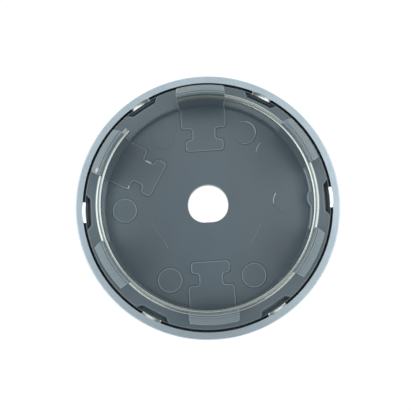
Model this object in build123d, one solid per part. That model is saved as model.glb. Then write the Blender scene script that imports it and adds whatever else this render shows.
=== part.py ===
"""Wheel centre cap: a trim ring, a clip base and a split spring wire, lying face down.

Millimetres. The origin is the middle of the front face, and +Z points to the back of the cap,
where the prongs snap into the wheel. The D-shaped hole has its flat towards -Y.
"""

import os
from math import asin, degrees

from build123d import *

# Trim ring
cap_diameter = 65.0
ring_height = 5.0
ring_wall = 1.8
lip_width = 4.0
lip_thickness = 1.25
front_round = 1.2
ring_edge_chamfer = 0.3

# Snap hooks on the ring's wall, which hold the base in
hook_count = 6
hook_width = 5.1
hook_reach = 0.67
hook_depth = 1.4
hook_drop = 0.65
hook_scoop = 0.2
hook_scoop_radius = 8.0

# Clip base: a dished disc with a flange, flush with the ring's back edge
edge_gap = 0.5
seat_clearance = 0.1
seat_height = 1.3
floor_thickness = 2.0
flange_width = 4.95
flange_edge_chamfer = 0.25
recess_edge_round = 0.5

# Pockets in the flange: a slot behind each hook, and a ledge that the hook snaps over
pocket_depth = 1.4
pocket_inner_width = 6.4
pocket_outer_width = 9.2
pocket_floor_thickness = 1.0
ledge_width = 0.4
pocket_chamfer = 0.35
pocket_chamfer_angle = 45.0
skirt_thickness = 0.2
hook_clearance = 0.05
hook_side_clearance = 0.15

# Prongs: a leg, a barb with a lead-in slope, and a groove for the wire
prong_count = 6
prong_width = 11.3
leg_thickness = 1.65
leg_root_round = 0.5
crest_width = 0.8
crest_chamfer = 0.3
barb_reach = 1.1
barb_width = 10.9
barb_height = 6.4
lead_in_height = 2.2
barb_land = 0.35
barb_back = 1.1

# Split spring wire that presses the prongs outwards
wire_diameter = 1.4
wire_below_barb = 0.1
wire_clearance = 0.02
wire_start_angle = 134.0
wire_arc_angle = 329.0

# D-shaped hole through the floor
hole_diameter = 10.1
hole_flat_inset = 0.65
hole_corner_share = 0.8
hole_shift_x = 0.14
hole_shift_y = 0.2

# Locating bump on the wall of the recess
bump_reach = 0.8
bump_width = 4.1
bump_foot_round = 0.4

# Mould marks on the floor: ejector pins, and the T-shaped ends of the sliders behind some prongs
mark_height = 0.1
pin_diameter = 5.8
pin_inset = 4.65
bump_pin_inset = 5.95
slider_angles = (90.0, 150.0, 270.0)
slider_offset = 0.25
slider_width = 11.1
slider_length = 5.55
slider_neck_width = 5.6
slider_neck_length = 3.1
slider_head_width = 9.3
slider_head_length = 2.7
slider_round = 0.8
slider_round_share = 0.45

# How far a cutter or a fused foot runs past the face that it meets
overrun = 0.5

# Radii and heights that follow from the sizes above
ring_outer = cap_diameter / 2
ring_inner = ring_outer - ring_wall
base_edge = ring_inner - edge_gap
base_seat = ring_inner - seat_clearance
recess_radius = base_edge - flange_width
leg_outer = recess_radius + leg_thickness
clip_radius = leg_outer + barb_reach
wire_radius = recess_radius
floor_level = lip_thickness + floor_thickness
flange_level = ring_height
hook_underside = ring_height - hook_depth
barb_level = flange_level + barb_height
prong_top = barb_level + lead_in_height
wire_level = barb_level - wire_below_barb


def turned_section(corners):
    """Face in the radius-height plane, from (radius, height, corner round) in order."""
    face = make_face(Polyline(*[(radius, height) for radius, height, _ in corners], close=True))
    for radius, height, corner_round in corners:
        if corner_round:
            face = fillet(face.vertices().sort_by_distance((radius, height))[0], corner_round)
    return Plane.XZ * face


def turned_arc(section, half_width, radius):
    """Solid of a section turned about Z, centred on +X and at least as wide as asked at a radius."""
    half_angle = degrees(asin(half_width / radius))
    return Rot(0, 0, -half_angle) * revolve(section, Axis.Z, 2 * half_angle)


def around(count, solid, turn=0.0):
    """Copies of a solid made on +X, evenly spaced about Z from a first turn in degrees."""
    return [Rot(0, 0, turn + 360 / count * index) * solid for index in range(count)]


def plan_prism(outline, low, high):
    """Upright prism on an outline, between two heights."""
    return extrude(Pos(0, 0, low) * outline, high - low)


def make_trim_ring():
    """L-shaped ring: the front lip, the outer wall and the hooks on the wall's back edge."""
    lip_inner = ring_outer - lip_width
    section = turned_section([
        (lip_inner + ring_edge_chamfer, 0, 0),
        (ring_outer, 0, front_round),
        (ring_outer, ring_height - ring_edge_chamfer, 0),
        (ring_outer - ring_edge_chamfer, ring_height, 0),
        (ring_inner, ring_height, 0),
        (ring_inner, lip_thickness, 0),
        (lip_inner, lip_thickness, 0),
        (lip_inner, ring_edge_chamfer, 0),
    ])
    hook_section = turned_section([
        (ring_inner - hook_reach, hook_underside, 0),
        (ring_inner + ring_wall / 2, hook_underside, 0),
        (ring_inner + ring_wall / 2, ring_height, 0),
        (ring_inner - hook_reach, ring_height, 0),
    ])
    hook = turned_arc(hook_section, hook_width / 2, ring_inner)
    widening = (hook_reach + hook_scoop) / hook_drop
    scoop_foot = hook_scoop_radius - widening * hook_depth
    scoop_top = hook_scoop_radius + widening * overrun
    on_foot = (Align.CENTER, Align.CENTER, Align.MIN)
    scoop = Cone(scoop_foot, scoop_top, hook_depth + overrun, align=on_foot)
    scoop = Pos(ring_inner + hook_scoop - hook_scoop_radius, 0, hook_underside) * scoop
    ring = revolve(section, Axis.Z) + around(hook_count, hook)
    return ring - around(hook_count, scoop)


def make_recess():
    """Cutter for the round recess above the floor, with room left for the locating bump on its wall."""
    bump_radius = (bump_width ** 2 / 4 + bump_reach ** 2) / (2 * bump_reach)
    bump = Pos(recess_radius - bump_reach + bump_radius, 0) * Circle(bump_radius)
    outline = Circle(recess_radius) - bump
    feet = outline.vertices().sort_by(Axis.X)[-2:]
    outline = fillet(feet, bump_foot_round)
    return plan_prism(outline, floor_level, flange_level + overrun)


def make_dish():
    """Floor, recess wall with its bump, and flange of the base, with the step that seats in the ring."""
    section = turned_section([
        (0, lip_thickness, 0),
        (base_seat, lip_thickness, 0),
        (base_seat, lip_thickness + seat_height, 0),
        (base_edge, lip_thickness + seat_height, 0),
        (base_edge, flange_level - flange_edge_chamfer, 0),
        (base_edge - flange_edge_chamfer, flange_level, 0),
        (0, flange_level, 0),
    ])
    dish = revolve(section, Axis.Z) - make_recess()
    top_face = dish.faces().sort_by(Axis.Z)[-1]
    return fillet(top_face.inner_wires()[0].edges(), recess_edge_round)


def make_pocket():
    """Cutter for the room that a hook needs: a slot, and a window over the ledge through the skirt."""
    inner = base_edge - pocket_depth
    spread = (pocket_outer_width - pocket_inner_width) / pocket_depth
    outer_width = pocket_inner_width + spread * (ring_outer - inner)
    outline = make_face(Polyline(
        (inner, -pocket_inner_width / 2),
        (ring_outer, -outer_width / 2),
        (ring_outer, outer_width / 2),
        (inner, pocket_inner_width / 2),
        close=True,
    ))
    ledge = hook_underside - hook_clearance
    slot_floor = lip_thickness + pocket_floor_thickness
    chamfer_foot = flange_level - pocket_chamfer
    top = flange_level + overrun
    inside_ledge = plan_prism(Circle(base_edge - ledge_width), 0, top)
    inside_skirt = plan_prism(Circle(base_edge - skirt_thickness), 0, top)
    slot = plan_prism(outline, slot_floor, chamfer_foot) & inside_ledge
    room = plan_prism(outline, ledge, chamfer_foot)
    mouth = Pos(0, 0, chamfer_foot) * outline
    room += extrude(mouth, pocket_chamfer + overrun, taper=-pocket_chamfer_angle)
    window_width = hook_width + 2 * hook_side_clearance
    window_outline = Rectangle(ring_outer - inner, window_width, align=(Align.MIN, Align.CENTER))
    window = plan_prism(Pos(inner, 0) * window_outline, ledge, top)
    return slot + (room & inside_skirt) + window


def make_prong():
    """Prong on +X: a curved leg with a barb outside, trimmed to its width in plan."""
    land_level = barb_level - barb_land
    crest_outer = recess_radius + crest_width
    foot_outer = leg_outer + 2 * leg_root_round
    section = turned_section([
        (recess_radius, floor_level, 0),
        (foot_outer, floor_level, 0),
        (foot_outer, flange_level, 0),
        (leg_outer, flange_level, leg_root_round),
        (leg_outer, land_level - barb_back, 0),
        (clip_radius, land_level, 0),
        (clip_radius, barb_level, 0),
        (crest_outer, prong_top, 0),
        (recess_radius + crest_chamfer, prong_top, 0),
        (recess_radius, prong_top - crest_chamfer, 0),
    ])
    outer = clip_radius + overrun
    outline = make_face(Polyline(
        (recess_radius - overrun - leg_thickness, -prong_width / 2),
        (crest_outer, -prong_width / 2),
        (outer, -barb_width / 2),
        (outer, barb_width / 2),
        (crest_outer, prong_width / 2),
        (recess_radius - overrun - leg_thickness, prong_width / 2),
        close=True,
    ))
    turned = turned_arc(section, prong_width / 2 + overrun, recess_radius)
    return turned & plan_prism(outline, floor_level, prong_top + overrun)


def make_slider_mark():
    """T-shaped pad that the end of a mould slider leaves on the floor below a prong."""
    neck_outer = recess_radius - slider_length
    head_outer = neck_outer - slider_neck_length
    head_inner = head_outer - slider_head_length
    body = Rectangle(slider_length + leg_thickness, slider_width, align=(Align.MIN, Align.CENTER))
    neck = Rectangle(slider_neck_length + 2 * overrun, slider_neck_width, align=(Align.MIN, Align.CENTER))
    head = Rectangle(slider_head_length, slider_head_width, align=(Align.MIN, Align.CENTER))
    outline = Pos(neck_outer, 0) * body + Pos(head_outer - overrun, 0) * neck + Pos(head_inner, 0) * head
    narrowest = min(slider_head_width - slider_neck_width, slider_width - slider_neck_width) / 2
    corner_round = min(slider_round, slider_round_share * narrowest)
    outline = fillet(outline.vertices().filter_by(lambda corner: corner.X < recess_radius), corner_round)
    return plan_prism(Pos(0, -slider_offset) * outline, floor_level - overrun, floor_level + mark_height)


def make_hole():
    """Cutter for the D-shaped hole, right through the floor."""
    radius = hole_diameter / 2
    below_flat = Rectangle(hole_diameter, hole_diameter, align=(Align.CENTER, Align.MAX))
    outline = Circle(radius) - Pos(0, hole_flat_inset - radius) * below_flat
    outline = fillet(outline.vertices().group_by(Axis.Y)[0], hole_corner_share * radius)
    return plan_prism(Pos(hole_shift_x, hole_shift_y) * outline, 0, ring_height)


def make_clip_base():
    """The grey moulding: dish, pockets, prongs with their groove, bump, hole and mould marks."""
    half_pitch = 180 / prong_count
    prongs = around(prong_count, make_prong(), half_pitch)
    groove = Pos(0, 0, wire_level) * Torus(wire_radius, wire_diameter / 2 + wire_clearance)
    pin = plan_prism(Circle(pin_diameter / 2), floor_level - overrun, floor_level + mark_height)
    pins = around(hook_count, Pos(recess_radius - pin_inset, 0, 0) * pin)[1:]
    bump_pin = Pos(recess_radius - bump_pin_inset, 0, 0) * pin
    slider_mark = make_slider_mark()
    base = make_dish() - around(hook_count, make_pocket())
    base = base + prongs - groove
    base = base + pins + bump_pin + [Rot(0, 0, angle) * slider_mark for angle in slider_angles]
    return base - make_hole()


def make_spring_wire():
    """Round wire bent to a ring, with the gap between its two blunt ends left open."""
    section = Plane.XZ * Pos(wire_radius, wire_level) * Circle(wire_diameter / 2)
    return Rot(0, 0, wire_start_angle) * revolve(section, Axis.Z, wire_arc_angle)


parts = {
    "trim_ring": make_trim_ring(),
    "clip_base": make_clip_base(),
    "spring_wire": make_spring_wire(),
}
os.makedirs("parts", exist_ok=True)
for name, solid in parts.items():
    export_step(solid, f"parts/{name}.step")
print(f"clip diameter {2 * clip_radius:.2f} mm, height {prong_top:.2f} mm")
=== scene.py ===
"""Looks of a wheel centre cap that lies face down and is seen from the back.

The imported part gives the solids. The ring and the base are copied with softened edges, the spring wire and
the mould's witness lines are swept with Geometry Nodes, and each piece gets its finish.
"""

import logging
import math
from collections.abc import Mapping, Sequence
from dataclasses import dataclass
from enum import Enum, IntEnum

import bmesh
import bpy
from mathutils import Matrix, Vector


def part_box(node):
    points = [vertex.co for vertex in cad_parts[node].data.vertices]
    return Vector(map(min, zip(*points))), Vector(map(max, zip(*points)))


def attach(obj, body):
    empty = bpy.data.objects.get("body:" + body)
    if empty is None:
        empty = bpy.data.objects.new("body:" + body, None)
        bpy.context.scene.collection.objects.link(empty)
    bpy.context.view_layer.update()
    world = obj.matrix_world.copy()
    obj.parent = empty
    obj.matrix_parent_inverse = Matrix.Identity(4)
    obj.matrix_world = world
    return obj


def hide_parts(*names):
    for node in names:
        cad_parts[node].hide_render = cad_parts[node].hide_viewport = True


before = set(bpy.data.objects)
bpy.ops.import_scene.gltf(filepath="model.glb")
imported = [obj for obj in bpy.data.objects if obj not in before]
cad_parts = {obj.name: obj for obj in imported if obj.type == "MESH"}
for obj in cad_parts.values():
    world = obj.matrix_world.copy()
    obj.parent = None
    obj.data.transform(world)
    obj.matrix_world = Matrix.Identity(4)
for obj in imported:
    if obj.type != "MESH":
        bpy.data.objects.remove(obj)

MM = 0.001
BODY = "root"
LOG = logging.getLogger("wheel_centre_cap")
# A Mix node's sockets share their names, so they are taken by index.
FIRST_NUMBER, SECOND_NUMBER, MIXED_NUMBER = 2, 3, 0
FIRST_COLOUR, SECOND_COLOUR, MIXED_COLOUR = 6, 7, 2


class Slot(Enum):
    """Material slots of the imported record."""

    PLATING = "plated_trim"
    PLASTIC = "grey_plastic"
    STEEL = "spring_steel"


class FinishIndex(IntEnum):
    """Places of the two finishes in a softened solid's list of materials."""

    FACES = 0
    EDGES = 1


def linear(hex_colour: str) -> tuple[float, float, float, float]:
    """Turn an sRGB hex colour into linear values.

    Args:
        hex_colour: Colour such as "#8090A0".

    Returns:
        Linear red, green, blue and an alpha of one.
    """
    levels = [int(hex_colour[place:place + 2], 16) / 255 for place in (1, 3, 5)]
    red, green, blue = [v / 12.92 if v <= 0.04045 else ((v + 0.055) / 1.055) ** 2.4 for v in levels]
    return red, green, blue, 1.0


def add_node(
    tree: bpy.types.NodeTree, kind: str, inputs: Mapping[str | int, object] | None = None, **settings: object
) -> bpy.types.Node:
    """Add a node with its settings, and fill its inputs with values or links.

    Args:
        tree: Node tree that gets the node.
        kind: Blender's name for the kind of node.
        inputs: Value, or socket to link from, for each input by name, or by index where names repeat.
        settings: Properties of the node.

    Returns:
        The new node.
    """
    node = tree.nodes.new(kind)
    for name, value in settings.items():
        setattr(node, name, value)
    for key, value in (inputs or {}).items():
        if isinstance(value, bpy.types.NodeSocket):
            tree.links.new(value, node.inputs[key])
        else:
            node.inputs[key].default_value = value
    return node


def new_material(name: str) -> bpy.types.Material:
    """Make a material with an empty node tree.

    Args:
        name: The material's name.

    Returns:
        The new material.
    """
    material = bpy.data.materials.new(name)
    material.use_nodes = True
    material.node_tree.nodes.clear()
    return material


@dataclass(frozen=True)
class SatinPlating:
    """Chrome plating on ABS, with a blasted satin outside and polished hooks."""

    # Blasting scatters what the plating mirrors into a soft bluish sheen, which hands have dulled in
    # blotches. The hooks weren't blasted, so they keep a mirror's glints.
    name: str = "satin_plated_abs"
    silver: str = "#C6D7E1"
    dull: str = "#AFC0CA"
    patch_size: float = 6.0 * MM
    grain_size: float = 0.45 * MM
    grain_height: float = 0.004 * MM
    satin_least: float = 0.34
    satin_most: float = 0.48
    polished: str = "#CFD5D4"
    polish: float = 0.22
    polish_inside: float = 30.72 * MM
    polish_above: float = 2.0 * MM

    def material(self) -> bpy.types.Material:
        """Build the plating: bluish silver, blotched where hands have dulled it, over a blasted grain.

        Returns:
            The plating's material.
        """
        material = new_material(self.name)
        tree = material.node_tree
        place = add_node(tree, "ShaderNodeTexCoord").outputs["Object"]
        patches = add_node(
            tree, "ShaderNodeTexNoise", {"Vector": place, "Scale": 1 / self.patch_size, "Detail": 3.0}
        )
        # The blasted grain is near 0.1 mm on such a part, and is drawn coarser so that it shows.
        grain = add_node(
            tree, "ShaderNodeTexNoise", {"Vector": place, "Scale": 1 / self.grain_size, "Detail": 2.0}
        )
        blasted = add_node(
            tree,
            "ShaderNodeMix",
            {
                "Factor": patches.outputs["Fac"],
                FIRST_COLOUR: linear(self.silver),
                SECOND_COLOUR: linear(self.dull),
            },
            data_type="RGBA",
        )
        flat_place = add_node(
            tree, "ShaderNodeVectorMath", {0: place, 1: (1.0, 1.0, 0.0)}, operation="MULTIPLY"
        )
        radius = add_node(tree, "ShaderNodeVectorMath", {0: flat_place.outputs["Vector"]}, operation="LENGTH")
        within = add_node(
            tree, "ShaderNodeMath", {0: radius.outputs["Value"], 1: self.polish_inside}, operation="LESS_THAN"
        )
        height = add_node(tree, "ShaderNodeSeparateXYZ", {"Vector": place}).outputs["Z"]
        above = add_node(tree, "ShaderNodeMath", {0: height, 1: self.polish_above}, operation="GREATER_THAN")
        inside = add_node(
            tree,
            "ShaderNodeMath",
            {0: within.outputs["Value"], 1: above.outputs["Value"]},
            operation="MULTIPLY",
        )
        colour = add_node(
            tree,
            "ShaderNodeMix",
            {
                "Factor": inside.outputs["Value"],
                FIRST_COLOUR: blasted.outputs[MIXED_COLOUR],
                SECOND_COLOUR: linear(self.polished),
            },
            data_type="RGBA",
        )
        blotched = add_node(
            tree,
            "ShaderNodeMapRange",
            {"Value": patches.outputs["Fac"], "To Min": self.satin_least, "To Max": self.satin_most},
        )
        roughness = add_node(
            tree,
            "ShaderNodeMix",
            {
                "Factor": inside.outputs["Value"],
                FIRST_NUMBER: blotched.outputs["Result"],
                SECOND_NUMBER: self.polish,
            },
            data_type="FLOAT",
        )
        outside = add_node(tree, "ShaderNodeMath", {0: 1.0, 1: inside.outputs["Value"]}, operation="SUBTRACT")
        bump = add_node(
            tree,
            "ShaderNodeBump",
            {
                "Height": grain.outputs["Fac"],
                "Distance": self.grain_height,
                "Strength": outside.outputs["Value"],
            },
        )
        shader = add_node(
            tree,
            "ShaderNodeBsdfPrincipled",
            {
                "Base Color": colour.outputs[MIXED_COLOUR],
                "Metallic": 1.0,
                "Roughness": roughness.outputs[MIXED_NUMBER],
                "Normal": bump.outputs["Normal"],
            },
        )
        add_node(tree, "ShaderNodeOutputMaterial", {"Surface": shader.outputs["BSDF"]})
        return material


@dataclass(frozen=True)
class MouldedPlastic:
    """Grey ABS, injection moulded in a smooth tool."""

    # A smooth tool gives an even grey with a soft sheen, and the melt leaves faint clouds in both. The barbs'
    # outer slopes are painted paler in streaks as painted light, the slots are painted paler as painted light
    # in their shade, and one prong corner carries a painted highlight.
    name: str = "moulded_grey_abs"
    grey: str = "#56656D"
    pale: str = "#5E6D75"
    slope_light_tint: str = "#677A80"
    slope_light_start: float = 26.25 * MM
    slope_light_end: float = 26.50 * MM
    slope_light_level: float = 5.6 * MM
    streak_width: float = 0.6 * MM
    streak_least: float = 0.5
    streak_most: float = 1.5
    slot_light_tint: str = "#788A94"
    slot_radius: float = 29.3 * MM
    slot_width: float = 1.1 * MM
    slot_level: float = 3.3 * MM
    slot_depth: float = 2.7 * MM
    corner_glint_tint: str = "#B4C0C3"
    corner_glint_place: Vector = Vector((-24.6, 8.75, 12.9)) * MM
    corner_glint_reach: float = 1.1 * MM
    glint_spot_size: float = 0.7 * MM
    glint_spot_start: float = 0.12
    glint_spot_end: float = 0.24
    flow_size: float = 9.0 * MM
    grain_size: float = 0.5 * MM
    grain_height: float = 0.003 * MM
    gloss: float = 0.36
    sheen_spread: float = 0.06
    index: float = 1.53

    def painted_slope_light(
        self,
        tree: bpy.types.NodeTree,
        flat_place: bpy.types.NodeSocket,
        radius: bpy.types.NodeSocket,
        height: bpy.types.NodeSocket,
    ) -> bpy.types.NodeSocket:
        """Mark the barbs' outer slopes, which are painted paler in streaks as painted light from the sides.

        Args:
            tree: The material's node tree.
            flat_place: Socket with the place on the piece, at no height.
            radius: Socket with the distance from the axis.
            height: Socket with the height over the table.

        Returns:
            Socket that is near 1 on the slopes and 0 elsewhere.
        """
        outwards = add_node(
            tree,
            "ShaderNodeMapRange",
            {"Value": radius, "From Min": self.slope_light_start, "From Max": self.slope_light_end},
        )
        above = add_node(tree, "ShaderNodeMath", {0: height, 1: self.slope_light_level}, operation="GREATER_THAN")
        bearing = add_node(tree, "ShaderNodeVectorMath", {0: flat_place}, operation="NORMALIZE")
        streak_noise = add_node(
            tree,
            "ShaderNodeTexNoise",
            {"Vector": bearing.outputs["Vector"], "Scale": self.slope_light_end / self.streak_width, "Detail": 2.0},
        )
        streaks = add_node(
            tree,
            "ShaderNodeMapRange",
            {"Value": streak_noise.outputs["Fac"], "To Min": self.streak_least, "To Max": self.streak_most},
        )
        slope = add_node(
            tree,
            "ShaderNodeMath",
            {0: outwards.outputs["Result"], 1: above.outputs["Value"]},
            operation="MULTIPLY",
        )
        return add_node(
            tree,
            "ShaderNodeMath",
            {0: slope.outputs["Value"], 1: streaks.outputs["Result"]},
            operation="MULTIPLY",
            use_clamp=True,
        ).outputs["Value"]

    def painted_shading(
        self, tree: bpy.types.NodeTree, radius: bpy.types.NodeSocket, height: bpy.types.NodeSocket
    ) -> bpy.types.NodeSocket:
        """Mark the slots in the pockets, which are painted paler as painted light in their shade.

        Args:
            tree: The material's node tree.
            radius: Socket with the distance from the axis.
            height: Socket with the height over the table.

        Returns:
            Socket that is 1 in the slots and 0 elsewhere.
        """
        across, deep = (
            add_node(tree, "ShaderNodeMath", {0: value, 1: middle, 2: span / 2}, operation="COMPARE")
            for value, middle, span in (
                (radius, self.slot_radius, self.slot_width),
                (height, self.slot_level, self.slot_depth),
            )
        )
        return add_node(
            tree,
            "ShaderNodeMath",
            {0: across.outputs["Value"], 1: deep.outputs["Value"]},
            operation="MULTIPLY",
        ).outputs["Value"]

    def painted_corner_glint(self, tree: bpy.types.NodeTree, place: bpy.types.NodeSocket) -> bpy.types.NodeSocket:
        """Mark one prong's corner, which gets a painted highlight of ragged near-white spots.

        Args:
            tree: The material's node tree.
            place: Socket with the place on the piece.

        Returns:
            Socket that is 1 in ragged spots at that corner and 0 elsewhere.
        """
        away = add_node(
            tree, "ShaderNodeVectorMath", {0: place, 1: self.corner_glint_place}, operation="DISTANCE"
        ).outputs["Value"]
        near = add_node(
            tree, "ShaderNodeMapRange", {"Value": away, "From Min": self.corner_glint_reach, "From Max": 0.0}
        )
        glint_spots = add_node(
            tree, "ShaderNodeTexNoise", {"Vector": place, "Scale": 1 / self.glint_spot_size, "Detail": 3.0}
        )
        ragged = add_node(
            tree,
            "ShaderNodeMath",
            {0: near.outputs["Result"], 1: glint_spots.outputs["Fac"]},
            operation="MULTIPLY",
        )
        return add_node(
            tree,
            "ShaderNodeMapRange",
            {"Value": ragged.outputs["Value"], "From Min": self.glint_spot_start, "From Max": self.glint_spot_end},
        ).outputs["Result"]

    def material(self) -> bpy.types.Material:
        """Build the plastic: even grey with faint flow clouds, and a sheen that comes and goes.

        Returns:
            The plastic's material.
        """
        material = new_material(self.name)
        tree = material.node_tree
        place = add_node(tree, "ShaderNodeTexCoord").outputs["Object"]
        clouds = add_node(
            tree, "ShaderNodeTexNoise", {"Vector": place, "Scale": 1 / self.flow_size, "Detail": 4.0}
        )
        # What polishing leaves in a tool is far finer than this grain, and is drawn coarser so that it shows.
        grain = add_node(
            tree, "ShaderNodeTexNoise", {"Vector": place, "Scale": 1 / self.grain_size, "Detail": 2.0}
        )
        colour = add_node(
            tree,
            "ShaderNodeMix",
            {
                "Factor": clouds.outputs["Fac"],
                FIRST_COLOUR: linear(self.grey),
                SECOND_COLOUR: linear(self.pale),
            },
            data_type="RGBA",
        )
        flat_place = add_node(
            tree, "ShaderNodeVectorMath", {0: place, 1: (1.0, 1.0, 0.0)}, operation="MULTIPLY"
        ).outputs["Vector"]
        radius = add_node(tree, "ShaderNodeVectorMath", {0: flat_place}, operation="LENGTH").outputs["Value"]
        height = add_node(tree, "ShaderNodeSeparateXYZ", {"Vector": place}).outputs["Z"]
        # Painted light on the slopes and in the slots, and a painted highlight at one corner.
        for mask, tint in (
            (self.painted_slope_light(tree, flat_place, radius, height), self.slope_light_tint),
            (self.painted_shading(tree, radius, height), self.slot_light_tint),
            (self.painted_corner_glint(tree, place), self.corner_glint_tint),
        ):
            colour = add_node(
                tree,
                "ShaderNodeMix",
                {"Factor": mask, FIRST_COLOUR: colour.outputs[MIXED_COLOUR], SECOND_COLOUR: linear(tint)},
                data_type="RGBA",
            )
        roughness = add_node(
            tree,
            "ShaderNodeMapRange",
            {
                "Value": clouds.outputs["Fac"],
                "To Min": self.gloss - self.sheen_spread,
                "To Max": self.gloss + self.sheen_spread,
            },
        )
        bump = add_node(
            tree,
            "ShaderNodeBump",
            {"Height": grain.outputs["Fac"], "Distance": self.grain_height, "Strength": 1.0},
        )
        shader = add_node(
            tree,
            "ShaderNodeBsdfPrincipled",
            {
                "Base Color": colour.outputs[MIXED_COLOUR],
                "IOR": self.index,
                "Roughness": roughness.outputs["Result"],
                "Normal": bump.outputs["Normal"],
            },
        )
        add_node(tree, "ShaderNodeOutputMaterial", {"Surface": shader.outputs["BSDF"]})
        return material


@dataclass(frozen=True)
class SpringSteel:
    """Bright spring steel, drawn through a die."""

    # Drawing leaves a bright skin with fine lines along the wire, which streak its highlights.
    name: str = "drawn_spring_steel"
    bright: str = "#B0B9B7"
    oiled: str = "#A0A9A7"
    line_length: float = 8.0 * MM
    line_width: float = 0.12 * MM
    line_height: float = 0.002 * MM
    gloss: float = 0.25
    straight_attribute: str = "straight_wire"

    def material(self) -> bpy.types.Material:
        """Build the steel: a bright metal with fine draw lines along the wire.

        Returns:
            The steel's material.
        """
        material = new_material(self.name)
        tree = material.node_tree
        place = add_node(
            tree, "ShaderNodeAttribute", attribute_type="GEOMETRY", attribute_name=self.straight_attribute
        )
        stretched = add_node(
            tree,
            "ShaderNodeVectorMath",
            {0: place.outputs["Vector"], 1: (1 / self.line_length, 1 / self.line_width, 1 / self.line_width)},
            operation="MULTIPLY",
        )
        # Draw lines are a few hundredths of a millimetre wide, and are drawn coarser so that they show.
        lines = add_node(
            tree, "ShaderNodeTexNoise", {"Vector": stretched.outputs["Vector"], "Scale": 1.0, "Detail": 2.0}
        )
        colour = add_node(
            tree,
            "ShaderNodeMix",
            {
                "Factor": lines.outputs["Fac"],
                FIRST_COLOUR: linear(self.bright),
                SECOND_COLOUR: linear(self.oiled),
            },
            data_type="RGBA",
        )
        bump = add_node(
            tree,
            "ShaderNodeBump",
            {"Height": lines.outputs["Fac"], "Distance": self.line_height, "Strength": 1.0},
        )
        shader = add_node(
            tree,
            "ShaderNodeBsdfPrincipled",
            {
                "Base Color": colour.outputs[MIXED_COLOUR],
                "Metallic": 1.0,
                "Roughness": self.gloss,
                "Normal": bump.outputs["Normal"],
            },
        )
        add_node(tree, "ShaderNodeOutputMaterial", {"Surface": shader.outputs["BSDF"]})
        return material


def link_piece(name: str, mesh: bpy.types.Mesh) -> bpy.types.Object:
    """Put a mesh into the scene as an object at the origin.

    Args:
        name: Name of the piece.
        mesh: Mesh with its place in its vertices.

    Returns:
        The new object.
    """
    piece = bpy.data.objects.new(name, mesh)
    bpy.context.scene.collection.objects.link(piece)
    return piece


def plain_mesh(piece: bpy.types.Object) -> bpy.types.Mesh:
    """Make a plain mesh of what a piece's modifiers give.

    Args:
        piece: Piece with its modifiers.

    Returns:
        The new mesh, named like the piece.
    """
    depsgraph = bpy.context.evaluated_depsgraph_get()
    mesh = bpy.data.meshes.new_from_object(piece.evaluated_get(depsgraph))
    mesh.name = piece.name
    return mesh


def hand_over(piece: bpy.types.Object, node: str | None = None) -> bpy.types.Object:
    """Tie a finished piece to the frame.

    Args:
        piece: The finished piece.
        node: CAD node that the piece stands for, if any.

    Returns:
        The same piece.
    """
    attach(piece, BODY)
    if node:
        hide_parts(node)
    return piece


@dataclass(frozen=True)
class EdgeRound:
    """Small round on those sharp outer edges of a moulding whose upper ends lie in a range of heights."""

    width: float
    above: float = -math.inf
    below: float = math.inf
    finish: FinishIndex = FinishIndex.FACES
    sharp_angle: float = math.radians(28)
    # A face has room for the round if it is wider than this many widths of it.
    room: float = 2.2

    def takes(self, edge: bmesh.types.BMEdge) -> bool:
        """Tell whether an edge is to be rounded.

        Args:
            edge: Edge of the welded solid.

        Returns:
            True for a sharp convex edge between two faces that are wide enough for the round.
        """
        if not (edge.is_manifold and edge.is_convex and edge.calc_face_angle() > self.sharp_angle):
            return False
        start, end = (vert.co for vert in edge.verts)
        if not self.above <= max(start.z, end.z) < self.below:
            return False
        along = (end - start).normalized()
        spans = [
            max((vert.co - start).cross(along).length for vert in face.verts) for face in edge.link_faces
        ]
        return min(spans) > self.room * self.width


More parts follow.
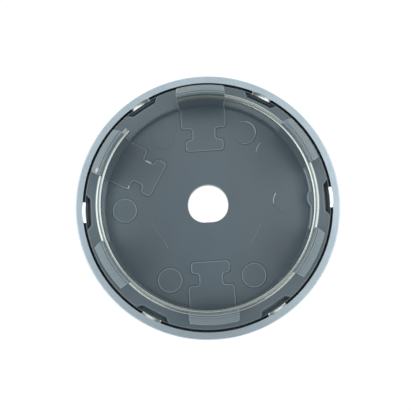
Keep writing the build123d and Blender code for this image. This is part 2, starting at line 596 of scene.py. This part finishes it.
@dataclass
class SoftenedSolid:
    """Copy of a CAD node whose sharp outer edges have the small rounds of a moulding."""

    node: str
    name: str
    slot: Slot
    edge_rounds: tuple[EdgeRound, ...]
    glint_rim: tuple[Vector, Vector] | None = None
    glint_rim_steepest: float = 0.4
    glint_rim_flattest: float = 0.9
    round_steps: int = 2
    flat_angle: float = math.radians(0.2)
    smooth_angle: float = math.radians(25)
    weld: float = 0.0005 * MM
    area_weight: int = 100

    def on_glint_rim(self, face: bmesh.types.BMFace) -> bool:
        """Tell whether a face lies on the rim that gets a painted glint, a round that faces the cap's axis.

        Args:
            face: Face of the rounded solid.

        Returns:
            True for a face inside the rim's box that is tilted inwards.
        """
        if self.glint_rim is None:
            return False
        centre, normal = face.calc_center_median(), face.normal
        lowest, highest = self.glint_rim
        boxed = all(low < value < high for low, value, high in zip(lowest, centre, highest))
        inwards = centre.xy.dot(normal.xy) < 0
        return boxed and inwards and self.glint_rim_steepest < normal.z < self.glint_rim_flattest

    def mesh(self) -> bpy.types.Mesh:
        """Copy the node's mesh, weld it, and round its convex edges.

        Returns:
            The new mesh.
        """
        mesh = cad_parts[self.node].data.copy()
        mesh.name = self.name
        mesh.attributes.remove(mesh.attributes["custom_normal"])
        mesh.materials.clear()
        solid = bmesh.new()
        solid.from_mesh(mesh)
        bmesh.ops.remove_doubles(solid, verts=solid.verts, dist=self.weld)
        bmesh.ops.dissolve_limit(
            solid, angle_limit=self.flat_angle, verts=solid.verts, edges=solid.edges, delimit=set()
        )
        for edge_round in self.edge_rounds:
            bmesh.ops.bevel(
                solid,
                geom=[edge for edge in solid.edges if edge_round.takes(edge)],
                offset=edge_round.width,
                offset_type="OFFSET",
                segments=self.round_steps,
                profile=0.5,
                affect="EDGES",
                clamp_overlap=False,
                material=edge_round.finish.value,
            )
        # Where rounds meet, some of their corners fall on one point.
        bmesh.ops.remove_doubles(solid, verts=solid.verts, dist=self.weld)
        # Faces of the rim get the edge finish, a painted glint.
        for face in solid.faces:
            if self.on_glint_rim(face):
                face.material_index = FinishIndex.EDGES.value
        solid.to_mesh(mesh)
        solid.free()
        mesh.shade_smooth()
        mesh.set_sharp_from_angle(angle=self.smooth_angle)
        return mesh

    def build(self, finish: bpy.types.Material, edge_finish: bpy.types.Material) -> bpy.types.Object:
        """Make the piece, dress it and let it stand for its node.

        Args:
            finish: Material of the faces.
            edge_finish: Material of the edges that a round gives it to, and of the rim with the painted
                glint.

        Returns:
            The finished piece.
        """
        piece = link_piece(self.name, self.mesh())
        for worn in (finish, edge_finish):
            piece.data.materials.append(worn)
        # Normals weighted by area keep the big faces flat beside their small rounds.
        modifier = piece.modifiers.new("flat_faces", "WEIGHTED_NORMAL")
        modifier.keep_sharp = True
        modifier.weight = self.area_weight
        piece.data = plain_mesh(piece)
        piece.modifiers.remove(modifier)
        return hand_over(piece, self.node)


class NodeTool:
    """Geometry Nodes tree with named inputs, put on a piece and then turned into a plain mesh."""

    def __init__(self, name: str, inputs: Mapping[str, str]) -> None:
        """Start an empty tree.

        Args:
            name: The tree's name.
            inputs: Socket type of each named input.
        """
        self.tree = bpy.data.node_groups.new(name, "GeometryNodeTree")
        interface = self.tree.interface
        interface.new_socket("Geometry", in_out="INPUT", socket_type="NodeSocketGeometry")
        interface.new_socket("Geometry", in_out="OUTPUT", socket_type="NodeSocketGeometry")
        self.identifiers = {
            label: interface.new_socket(label, in_out="INPUT", socket_type=kind).identifier
            for label, kind in inputs.items()
        }
        self.given = add_node(self.tree, "NodeGroupInput").outputs

    def close(self, geometry: bpy.types.NodeSocket) -> None:
        """End the tree in real geometry with its material.

        Args:
            geometry: Socket that carries the finished shape.
        """
        realized = add_node(self.tree, "GeometryNodeRealizeInstances", {"Geometry": geometry})
        smooth = add_node(self.tree, "GeometryNodeSetShadeSmooth", {"Geometry": realized.outputs["Geometry"]})
        dressed = add_node(
            self.tree,
            "GeometryNodeSetMaterial",
            {"Geometry": smooth.outputs["Geometry"], "Material": self.given["Material"]},
        )
        add_node(self.tree, "NodeGroupOutput", {"Geometry": dressed.outputs["Geometry"]})

    def apply(self, name: str, carrier: bpy.types.Mesh, values: Mapping[str, object]) -> bpy.types.Object:
        """Run the tree on a carrier mesh and keep the result as a plain mesh.

        Args:
            name: Name of the piece.
            carrier: Mesh that the tree starts from.
            values: Value for each named input.

        Returns:
            The piece, with no modifier left on it.
        """
        piece = link_piece(name, carrier)
        modifier = piece.modifiers.new(self.tree.name, "NODES")
        modifier.node_group = self.tree
        for label, value in values.items():
            modifier[self.identifiers[label]] = value
        piece.data = plain_mesh(piece)
        piece.modifiers.remove(modifier)
        return piece


@dataclass
class SpringWire:
    """Split ring of round wire, swept along its arc."""

    node: str = "spring_wire"
    name: str = "wire_ring"
    start_angle: float = math.radians(134)
    arc_angle: float = math.radians(329)
    steps_along: int = 360
    steps_around: int = 32
    sharp_angle: float = math.radians(40)

    def tool(self, straight_attribute: str) -> NodeTool:
        """Make the tree that sweeps a circle along an arc.

        Args:
            straight_attribute: Attribute that keeps each point's place on the straightened wire.

        Returns:
            The finished tree.
        """
        tool = NodeTool(
            "sweep_wire",
            {
                "Ring Radius": "NodeSocketFloat",
                "Wire Radius": "NodeSocketFloat",
                "Level": "NodeSocketFloat",
                "Start Angle": "NodeSocketFloat",
                "Arc Angle": "NodeSocketFloat",
                "Material": "NodeSocketMaterial",
            },
        )
        tree, given = tool.tree, tool.given
        arc = add_node(
            tree,
            "GeometryNodeCurveArc",
            {
                "Resolution": self.steps_along,
                "Radius": given["Ring Radius"],
                "Start Angle": given["Start Angle"],
                "Sweep Angle": given["Arc Angle"],
            },
        )
        along = add_node(tree, "GeometryNodeSplineParameter")
        kept_along = add_node(
            tree, "GeometryNodeCaptureAttribute", {"Geometry": arc.outputs["Curve"]}, domain="POINT"
        )
        kept_along.capture_items.new("FLOAT", "Along")
        tree.links.new(along.outputs["Length"], kept_along.inputs["Along"])
        section = add_node(
            tree,
            "GeometryNodeCurvePrimitiveCircle",
            {"Resolution": self.steps_around, "Radius": given["Wire Radius"]},
        )
        position = add_node(tree, "GeometryNodeInputPosition")
        kept_across = add_node(
            tree, "GeometryNodeCaptureAttribute", {"Geometry": section.outputs["Curve"]}, domain="POINT"
        )
        kept_across.capture_items.new("VECTOR", "Across")
        tree.links.new(position.outputs["Position"], kept_across.inputs["Across"])
        swept = add_node(
            tree,
            "GeometryNodeCurveToMesh",
            {
                "Curve": kept_along.outputs["Geometry"],
                "Profile Curve": kept_across.outputs["Geometry"],
                "Fill Caps": True,
            },
        )
        across = add_node(tree, "ShaderNodeSeparateXYZ", {"Vector": kept_across.outputs["Across"]})
        straight = add_node(
            tree,
            "ShaderNodeCombineXYZ",
            {"X": kept_along.outputs["Along"], "Y": across.outputs["X"], "Z": across.outputs["Y"]},
        )
        stored = add_node(
            tree,
            "GeometryNodeStoreNamedAttribute",
            {
                "Geometry": swept.outputs["Mesh"],
                "Name": straight_attribute,
                "Value": straight.outputs["Vector"],
            },
            data_type="FLOAT_VECTOR",
            domain="POINT",
        )
        lift = add_node(tree, "ShaderNodeCombineXYZ", {"Z": given["Level"]})
        raised = add_node(
            tree,
            "GeometryNodeSetPosition",
            {"Geometry": stored.outputs["Geometry"], "Offset": lift.outputs["Vector"]},
        )
        tool.close(raised.outputs["Geometry"])
        return tool

    def build(self, finish: bpy.types.Material, straight_attribute: str) -> bpy.types.Object:
        """Sweep the wire where its CAD node lies.

        Args:
            finish: Material of the wire.
            straight_attribute: Attribute that the finish reads.

        Returns:
            The finished piece.
        """
        low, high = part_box(self.node)
        wire_radius = (high.z - low.z) / 2
        values = {
            "Ring Radius": high.x - wire_radius,
            "Wire Radius": wire_radius,
            "Level": (low.z + high.z) / 2,
            "Start Angle": self.start_angle,
            "Arc Angle": self.arc_angle,
            "Material": finish,
        }
        piece = self.tool(straight_attribute).apply(self.name, bpy.data.meshes.new(self.name), values)
        piece.data.set_sharp_from_angle(angle=self.sharp_angle)
        return hand_over(piece, self.node)


@dataclass(frozen=True)
class MouldLine:
    """One raised line: its turn about the cap's axis in degrees, its rise, and its points at no turn."""

    turn: float
    rise: float
    points: Sequence[Vector]


@dataclass
class WitnessLines:
    """Fine raised lines that gaps between the mould's inserts leave on the floor, and pale beads on one
    prong's leg.
    """

    floor_level: float = 3.25 * MM
    mark_height: float = 0.1 * MM
    recess_radius: float = 25.25 * MM
    pin_radius: float = 2.9 * MM
    pin_circle: float = 20.6 * MM
    bump_pin_circle: float = 19.3 * MM
    slider_offset: float = 0.25 * MM
    body_half: float = 5.55 * MM
    body_end: float = 19.7 * MM
    neck_half: float = 2.8 * MM
    neck_end: float = 16.6 * MM
    head_half: float = 4.65 * MM
    head_end: float = 13.9 * MM
    corner_round: float = 0.8 * MM
    line_width: float = 0.24 * MM
    shade_line_width: float = 0.20 * MM
    shade_line_offset: float = 0.21 * MM
    shade_line_rise: float = 0.01 * MM
    clear_rise: float = 0.07 * MM
    bright_width: float = 0.30 * MM
    bright_rise: float = 0.10 * MM
    flank_width: float = 0.20 * MM
    flank_rise: float = 0.04 * MM
    leg_half: float = 5.65 * MM
    leg_rise: float = 7.2 * MM
    leg_line_width: float = 0.18 * MM
    faint_width: float = 0.10 * MM
    faint_rise: float = 0.06 * MM
    tag_rise: float = 0.20 * MM
    tag_width: float = 0.36 * MM
    slider_turns: tuple[float, ...] = (90.0, 150.0, 270.0)
    pin_turns: tuple[float, ...] = (180.0, 240.0, 300.0)
    half_pin_turn: float = 60.0
    half_pin_arc: tuple[float, float] = (-165.0, 50.0)
    half_pin_bright_arc: tuple[float, float] = (-65.0, 15.0)
    bump_pin_turn: float = 0.0
    bump_pin_bright_arc: tuple[float, float] = (136.0, 192.0)
    flank_turn: float = 30.0
    leg_turn: float = 90.0
    tag_turn: float = 150.0
    pin_steps: int = 48
    corner_steps: int = 4
    bead_sides: int = 8
    rise_attribute: str = "rise"
    closing_gap: float = 0.001 * MM

    def slider_outline(self, grow: float = 0.0) -> list[Vector]:
        """List the corners of the T that a slider's end leaves, from wall to wall.

        Args:
            grow: How far the line lies outside the edge of the T.

        Returns:
            Corners at no turn.
        """
        side = [
            (self.recess_radius, self.body_half + grow),
            (self.body_end - grow, self.body_half + grow),
            (self.body_end - grow, self.neck_half + grow),
            (self.neck_end + grow, self.neck_half + grow),
            (self.neck_end + grow, self.head_half + grow),
            (self.head_end - grow, self.head_half + grow),
        ]
        corners = side + [(along, -across) for along, across in reversed(side)]
        return [Vector((along, across - self.slider_offset, 0.0)) for along, across in corners]

    def pin_outline(
        self, circle: float, first: float = 0.0, last: float = 360.0, grow: float = 0.0
    ) -> list[Vector]:
        """List points round an ejector pin.

        Args:
            circle: Radius of the circle that the pin stands on.
            first: Start of the arc in degrees, from the side away from the cap's axis.
            last: End of the arc in degrees.
            grow: How far the line lies outside the pin's edge.

        Returns:
            Points along the arc at no turn.
        """
        count = max(2, round(self.pin_steps * (last - first) / 360))
        turns = [math.radians(first + (last - first) * step / count) for step in range(count + 1)]
        radius = self.pin_radius + grow
        return [Vector((circle + radius * math.cos(turn), radius * math.sin(turn), 0.0)) for turn in turns]

    def outlines(self, rise: float, grow: float = 0.0) -> list[MouldLine]:
        """List the clear outlines of the sliders and pins.

        Args:
            rise: How far the lines stand up.
            grow: How far they lie outside the edges.

        Returns:
            The outlines that show in full, and the half of one pin's that does.
        """
        slider, pin = self.slider_outline(grow), self.pin_outline(self.pin_circle, grow=grow)
        half_pin = self.pin_outline(self.pin_circle, *self.half_pin_arc, grow)
        sliders = [MouldLine(turn, rise, slider) for turn in self.slider_turns]
        pins = [MouldLine(turn, rise, pin) for turn in self.pin_turns]
        return sliders + pins + [MouldLine(self.half_pin_turn, rise, half_pin)]

    def bright_lines(self) -> list[MouldLine]:
        """List the short stretches round two pins that stand up more than the rest.

        Returns:
            An arc of the half-shown pin and one of the pin by the bump.
        """
        half_pin = self.pin_outline(self.pin_circle, *self.half_pin_bright_arc)
        bump_pin = self.pin_outline(self.bump_pin_circle, *self.bump_pin_bright_arc)
        return [
            MouldLine(self.half_pin_turn, self.bright_rise, half_pin),
            MouldLine(self.bump_pin_turn, self.bright_rise, bump_pin),
        ]

    def flank_line(self) -> list[MouldLine]:
        """List the one short line beside a prong that has no slider."""
        bend = [Vector(place) * MM for place in ((19.7, 5.85, 0.0), (18.4, 5.25, 0.0), (17.5, 4.4, 0.0))]
        return [MouldLine(self.flank_turn, self.flank_rise, bend)]

    def leg_lines(self) -> list[MouldLine]:
        """List the upright lines on both edges of one prong's leg, pale as painted highlights.

        Returns:
            Two lines whose rise leaves the beads round.
        """
        along = math.sqrt(self.recess_radius**2 - self.leg_half**2)
        lines = []
        for across in (-self.leg_half, self.leg_half):
            upright = [Vector((along, across, height)) for height in (0.0, self.leg_rise)]
            lines.append(MouldLine(self.leg_turn, self.leg_line_width / 2, upright))
        return lines

    def faint_lines(self) -> list[MouldLine]:
        """List the faint lines, where a slider closed tightly and only a stretch of its end shows.

        Returns:
            One line for each such slider.
        """
        lines = []
        for turn, *stretch in ((210.0, 3.6 * MM, -4.1 * MM), (330.0, 1.5 * MM, -3.7 * MM)):
            end = [Vector((self.head_end, across, 0.0)) for across in stretch]
            lines.append(MouldLine(turn, self.faint_rise, end))
        return lines

    def tags(self) -> list[MouldLine]:
        """List the two short tags of flash on one slider's edge.

        Returns:
            A tag at a corner of its body, and a lower one on the side of its neck.
        """
        body_corner = [Vector((self.body_end, across, 0.0)) for across in (5.1 * MM, 4.3 * MM)]
        neck_side = [Vector((along, -3.2 * MM, 0.0)) for along in (18.9 * MM, 17.4 * MM)]
        return [
            MouldLine(self.tag_turn, self.tag_rise, body_corner),
            MouldLine(self.tag_turn, self.tag_rise / 2, neck_side),
        ]

    def tool(self) -> NodeTool:
        """Make the tree that rounds the corners of the lines and sweeps a low bead along them.

        Returns:
            The finished tree.
        """
        tool = NodeTool(
            "witness_line",
            {
                "Corner Round": "NodeSocketFloat",
                "Line Width": "NodeSocketFloat",
                "Level": "NodeSocketFloat",
                "Material": "NodeSocketMaterial",
            },
        )
        tree, given = tool.tree, tool.given
        curve = add_node(tree, "GeometryNodeMeshToCurve", {"Mesh": given["Geometry"]})
        rounded = add_node(
            tree,
            "GeometryNodeFilletCurve",
            {
                "Curve": curve.outputs["Curve"],
                "Count": self.corner_steps,
                "Radius": given["Corner Round"],
                "Limit Radius": True,
            },
            mode="POLY",
        )
        half_width = add_node(tree, "ShaderNodeMath", {0: given["Line Width"], 1: 0.5}, operation="MULTIPLY")
        section = add_node(
            tree,
            "GeometryNodeCurvePrimitiveCircle",
            {"Resolution": self.bead_sides, "Radius": half_width.outputs["Value"]},
        )
        bead = add_node(
            tree,
            "GeometryNodeCurveToMesh",
            {
                "Curve": rounded.outputs["Curve"],
                "Profile Curve": section.outputs["Curve"],
                "Fill Caps": True,
            },
        )
        rise = add_node(
            tree, "GeometryNodeInputNamedAttribute", {"Name": self.rise_attribute}, data_type="FLOAT"
        ).outputs["Attribute"]
        flattening = add_node(
            tree, "ShaderNodeMath", {0: rise, 1: half_width.outputs["Value"]}, operation="DIVIDE"
        )
        position = add_node(tree, "GeometryNodeInputPosition").outputs["Position"]
        parts = add_node(tree, "ShaderNodeSeparateXYZ", {"Vector": position}).outputs
        height = add_node(
            tree,
            "ShaderNodeMath",
            {0: parts["Z"], 1: flattening.outputs["Value"], 2: given["Level"]},
            operation="MULTIPLY_ADD",
        )
        place = add_node(
            tree, "ShaderNodeCombineXYZ", {"X": parts["X"], "Y": parts["Y"], "Z": height.outputs["Value"]}
        )
        flattened = add_node(
            tree,
            "GeometryNodeSetPosition",
            {"Geometry": bead.outputs["Mesh"], "Position": place.outputs["Vector"]},
        )
        tool.close(flattened.outputs["Geometry"])
        return tool

    def carrier(self, name: str, lines: Sequence[MouldLine]) -> bpy.types.Mesh:
        """Lay out the lines as chains of edges about the cap's axis.

        Args:
            name: Name of the mesh.
            lines: The lines of one piece.

        Returns:
            Mesh of chains, with heights from the floor and the rise of each point.
        """
        places, edges, rises = [], [], []
        for line in lines:
            first = len(places)
            closes = (line.points[-1] - line.points[0]).length < self.closing_gap
            corners = line.points[:-1] if closes else line.points
            places += [Matrix.Rotation(math.radians(line.turn), 3, "Z") @ point for point in corners]
            last = len(places) - 1
            edges += [(step, step + 1) for step in range(first, last)]
            edges += [(last, first)] if closes else []
            rises += [line.rise] * len(corners)
        mesh = bpy.data.meshes.new(name)
        mesh.from_pydata(places, edges, [])
        mesh.attributes.new(self.rise_attribute, "FLOAT", "POINT").data.foreach_set("value", rises)
        return mesh

    def build(self, finishes: Mapping[str, bpy.types.Material]) -> list[bpy.types.Object]:
        """Sweep the lines, the strips of painted shade beside them and the tags of flash.

        Args:
            finishes: Material of each piece by its name.

        Returns:
            The finished pieces.
        """
        tool = self.tool()
        mark_level = self.floor_level + self.mark_height
        # Strips just outside the outlines carry painted shade at the foot of the raised marks.
        painted_shading = self.outlines(self.shade_line_rise, self.shade_line_offset)
        pieces = []
        for name, level, width, lines in (
            ("clear_lines", mark_level, self.line_width, self.outlines(self.clear_rise)),
            ("bright_lines", mark_level, self.bright_width, self.bright_lines()),
            ("flank_line", self.floor_level, self.flank_width, self.flank_line()),
            ("leg_lines", self.floor_level, self.leg_line_width, self.leg_lines()),
            ("faint_lines", self.floor_level, self.faint_width, self.faint_lines()),
            ("painted_shade_lines", self.floor_level, self.shade_line_width, painted_shading),
            ("flash_tags", mark_level, self.tag_width, self.tags()),
        ):
            values = {
                "Corner Round": self.corner_round,
                "Line Width": width,
                "Level": level,
                "Material": finishes[name],
            }
            piece = tool.apply(name, self.carrier(name, lines), values)
            pieces.append(hand_over(piece))
        return pieces


@dataclass(frozen=True)
class SoftBox:
    """Soft box that hangs round the cap and faces it, with angles in degrees and sizes in metres."""

    name: str
    bearing: float
    from_zenith: float
    width: float
    height: float
    radiance: float
    distance: float = 0.25

    def build(self) -> None:
        """Hang the box, unseen by the camera."""
        lamp = bpy.data.lights.new(self.name, "AREA")
        lamp.shape = "RECTANGLE"
        lamp.size = self.width
        lamp.size_y = self.height
        # A flat lamp's power is its radiance times its area times pi.
        lamp.energy = math.pi * self.radiance * self.width * self.height
        bearing, tilt = math.radians(self.bearing), math.radians(self.from_zenith)
        holder = bpy.data.objects.new(self.name, lamp)
        holder.location = self.distance * Vector(
            (math.sin(tilt) * math.cos(bearing), math.sin(tilt) * math.sin(bearing), math.cos(tilt))
        )
        holder.rotation_euler = (-holder.location).to_track_quat("-Z", "Y").to_euler()
        holder.visible_camera = False
        bpy.context.scene.collection.objects.link(holder)


@dataclass
class Studio:
    """White floor, soft boxes round the cap and the camera above its back."""

    floor_width: float = 3.0
    floor_drop: float = 0.02 * MM
    floor_glow: float = 1.02
    soft_boxes: tuple[SoftBox, ...] = (
        SoftBox("right_wall", bearing=0.0, from_zenith=66.0, width=0.40, height=0.20, radiance=1.25),
        SoftBox("left_wall", bearing=180.0, from_zenith=66.0, width=0.40, height=0.20, radiance=1.51),
        SoftBox("near_right_wall", bearing=308.0, from_zenith=69.0, width=0.08, height=0.08, radiance=2.0),
        SoftBox("near_left_wall", bearing=232.0, from_zenith=69.0, width=0.08, height=0.08, radiance=2.0),
        SoftBox("far_right_wall", bearing=60.0, from_zenith=69.0, width=0.08, height=0.08, radiance=1.1),
        SoftBox("far_left_wall", bearing=120.0, from_zenith=69.0, width=0.08, height=0.08, radiance=1.1),
        SoftBox("right_panel", bearing=0.0, from_zenith=60.0, width=0.16, height=0.24, radiance=0.38),
        SoftBox("left_panel", bearing=180.0, from_zenith=60.0, width=0.16, height=0.24, radiance=0.37),
        SoftBox("right_slope", bearing=0.0, from_zenith=45.0, width=0.26, height=0.12, radiance=0.71),
        SoftBox("left_slope", bearing=180.0, from_zenith=45.0, width=0.26, height=0.12, radiance=0.92),
        SoftBox("right_roof", bearing=5.0, from_zenith=27.0, width=0.16, height=0.13, radiance=0.48),
        SoftBox("left_roof", bearing=178.0, from_zenith=27.0, width=0.16, height=0.13, radiance=0.12),
        SoftBox("far_roof", bearing=90.0, from_zenith=27.0, width=0.20, height=0.15, radiance=0.82),
        SoftBox("near_right_roof", bearing=312.0, from_zenith=24.0, width=0.10, height=0.09, radiance=0.51),
        SoftBox("near_left_roof", bearing=232.0, from_zenith=30.0, width=0.10, height=0.09, radiance=0.54),
        SoftBox("right_top", bearing=0.0, from_zenith=13.0, width=0.06, height=0.06, radiance=1.05),
        SoftBox("left_top", bearing=180.0, from_zenith=13.0, width=0.06, height=0.06, radiance=0.62),
    )
    horizon_glow: float = 1.8
    horizon_end: float = 0.3
    near_horizon_glow: float = 0.3
    near_horizon_start: float = -0.2
    near_horizon_full: float = -0.9
    ambient: float = 0.163
    eye: Vector = Vector((0.73, -11.445, 120.5)) * MM
    aim: Vector = Vector((0.09, -0.985, 7.0)) * MM
    roll: float = math.radians(3.6)
    sensor_width: float = 36.0
    focal_pixels: float = 473.65
    image_width: int = 416
    nearest: float = 1.0 * MM

    def floor(self) -> None:
        """Lay the white floor under the cap."""
        mesh = bpy.data.meshes.new("floor")
        grid = bmesh.new()
        # A hair's breadth under the cap, so that the floor and the front face aren't in one plane.
        bmesh.ops.create_grid(
            grid,
            x_segments=2,
            y_segments=2,
            size=self.floor_width / 2,
            matrix=Matrix.Translation((0.0, 0.0, -self.floor_drop)),
        )
        grid.to_mesh(mesh)
        grid.free()
        # Backlit white acrylic, as on a product table: it shows no shadow. From below it isn't seen.
        material = new_material("backlit_white_acrylic")
        tree = material.node_tree
        glow = add_node(tree, "ShaderNodeEmission", {"Strength": self.floor_glow})
        clear = add_node(tree, "ShaderNodeBsdfTransparent")
        underneath = add_node(tree, "ShaderNodeNewGeometry").outputs["Backfacing"]
        sheet = add_node(
            tree,
            "ShaderNodeMixShader",
            {0: underneath, 1: glow.outputs["Emission"], 2: clear.outputs["BSDF"]},
        )
        add_node(tree, "ShaderNodeOutputMaterial", {"Surface": sheet.outputs["Shader"]})
        mesh.materials.append(material)
        link_piece("floor", mesh)

    def surroundings(self) -> None:
        """Surround the cap with a dim room, a band of light above the floor, and white behind it all."""
        world = bpy.data.worlds.new("dim_room")
        world.use_nodes = True
        tree = world.node_tree
        tree.nodes.clear()
        direction = add_node(tree, "ShaderNodeTexCoord").outputs["Generated"]
        way = add_node(tree, "ShaderNodeSeparateXYZ", {"Vector": direction}).outputs
        band = add_node(
            tree,
            "ShaderNodeMapRange",
            {
                "Value": way["Y"],
                "From Min": self.near_horizon_full,
                "From Max": self.near_horizon_start,
                "To Min": self.near_horizon_glow,
                "To Max": self.horizon_glow,
            },
        )
        glow = add_node(
            tree,
            "ShaderNodeMapRange",
            {
                "Value": way["Z"],
                "From Max": self.horizon_end,
                "To Min": band.outputs["Result"],
                "To Max": self.ambient,
            },
        )
        seen = add_node(tree, "ShaderNodeLightPath").outputs["Is Camera Ray"]
        strength = add_node(
            tree,
            "ShaderNodeMix",
            {"Factor": seen, FIRST_NUMBER: glow.outputs["Result"], SECOND_NUMBER: self.floor_glow},
            data_type="FLOAT",
        )
        light = add_node(
            tree,
            "ShaderNodeBackground",
            {"Color": linear("#FFFFFF"), "Strength": strength.outputs[MIXED_NUMBER]},
        )
        add_node(tree, "ShaderNodeOutputWorld", {"Surface": light.outputs["Background"]})
        bpy.context.scene.world = world

    def camera(self) -> None:
        """Set the camera above the cap, a little towards the flat of the hole."""
        lens = bpy.data.cameras.new("camera")
        lens.sensor_width = self.sensor_width
        lens.lens = self.focal_pixels / self.image_width * self.sensor_width
        lens.clip_start = self.nearest
        forward = (self.aim - self.eye).normalized()
        right = forward.cross(Vector((math.sin(self.roll), math.cos(self.roll), 0.0))).normalized()
        turn = Matrix((right, right.cross(forward), -forward)).transposed()
        holder = bpy.data.objects.new("camera", lens)
        holder.matrix_world = Matrix.Translation(self.eye) @ turn.to_4x4()
        bpy.context.scene.collection.objects.link(holder)
        bpy.context.scene.camera = holder

    def build(self) -> None:
        """Set up the floor, the light, the camera and plain colour."""
        self.floor()
        self.surroundings()
        for box in self.soft_boxes:
            box.build()
        self.camera()
        bpy.context.scene.view_settings.view_transform = "Standard"


def main() -> None:
    """Build the cap's pieces in order and report them, then set up the studio."""
    logging.basicConfig(level=logging.INFO, format="%(name)s: %(message)s")
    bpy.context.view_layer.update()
    plating, plastic, steel = SatinPlating().material(), MouldedPlastic().material(), SpringSteel()
    # A paler grey for the edge rounds, the recess rim and the plain witness lines: painted highlights where
    # they catch the light.
    edge_highlight_plastic = MouldedPlastic(
        "highlight_painted_grey_abs", grey="#7D8C94", pale="#87969D", slope_light_tint="#95A4AA"
    ).material()
    # A darker grey for strips beside the raised lines: painted shade at their foot.
    shade_line_plastic = MouldedPlastic("shade_painted_grey_abs", grey="#434F58", pale="#48545E").material()
    # Fins of flash squeezed out of the mould; their pale and near-white greys are painted highlights.
    flash_highlight_plastic = MouldedPlastic("highlight_painted_abs_flash", grey="#9AA7AD", pale="#A4B1B6").material()
    flash_glint_plastic = MouldedPlastic("glint_painted_abs_flash", grey="#B9C4C8", pale="#C6D0D3").material()
    flange_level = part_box("trim_ring")[1].z
    prong_level = flange_level + 0.1 * MM
    ring_round = EdgeRound(0.03 * MM)
    # The paler edge finish on the prong and flange rounds is a painted highlight.
    prong_round = EdgeRound(0.12 * MM, above=prong_level, finish=FinishIndex.EDGES)
    flange_round = EdgeRound(0.05 * MM, below=prong_level, finish=FinishIndex.EDGES)
    # The recess rim on the bump's side, between two prongs, gets the paler grey as a painted glint.
    glint_rim = (
        Vector((23.0 * MM, -10.0 * MM, flange_level - 0.5 * MM)),
        Vector((25.5 * MM, 10.0 * MM, flange_level)),
    )
    ring = SoftenedSolid("trim_ring", "plated_ring", Slot.PLATING, (ring_round,))
    base = SoftenedSolid("clip_base", "moulded_base", Slot.PLASTIC, (prong_round, flange_round), glint_rim)
    # The pale and near-white line finishes are painted highlights, and the dark one is painted shade.
    line_finishes = {
        "clear_lines": edge_highlight_plastic,
        "bright_lines": flash_highlight_plastic,
        "flank_line": flash_highlight_plastic,
        "leg_lines": flash_highlight_plastic,
        "faint_lines": edge_highlight_plastic,
        "painted_shade_lines": shade_line_plastic,
        "flash_tags": flash_glint_plastic,
    }
    pieces = [
        ring.build(plating, plating),
        base.build(plastic, edge_highlight_plastic),
        SpringWire().build(steel.material(), steel.straight_attribute),
        *WitnessLines().build(line_finishes),
    ]
    for piece in pieces:
        LOG.info("%s: %d faces", piece.name, len(piece.data.polygons))
    Studio().build()


if __name__ == "__main__":
    main()
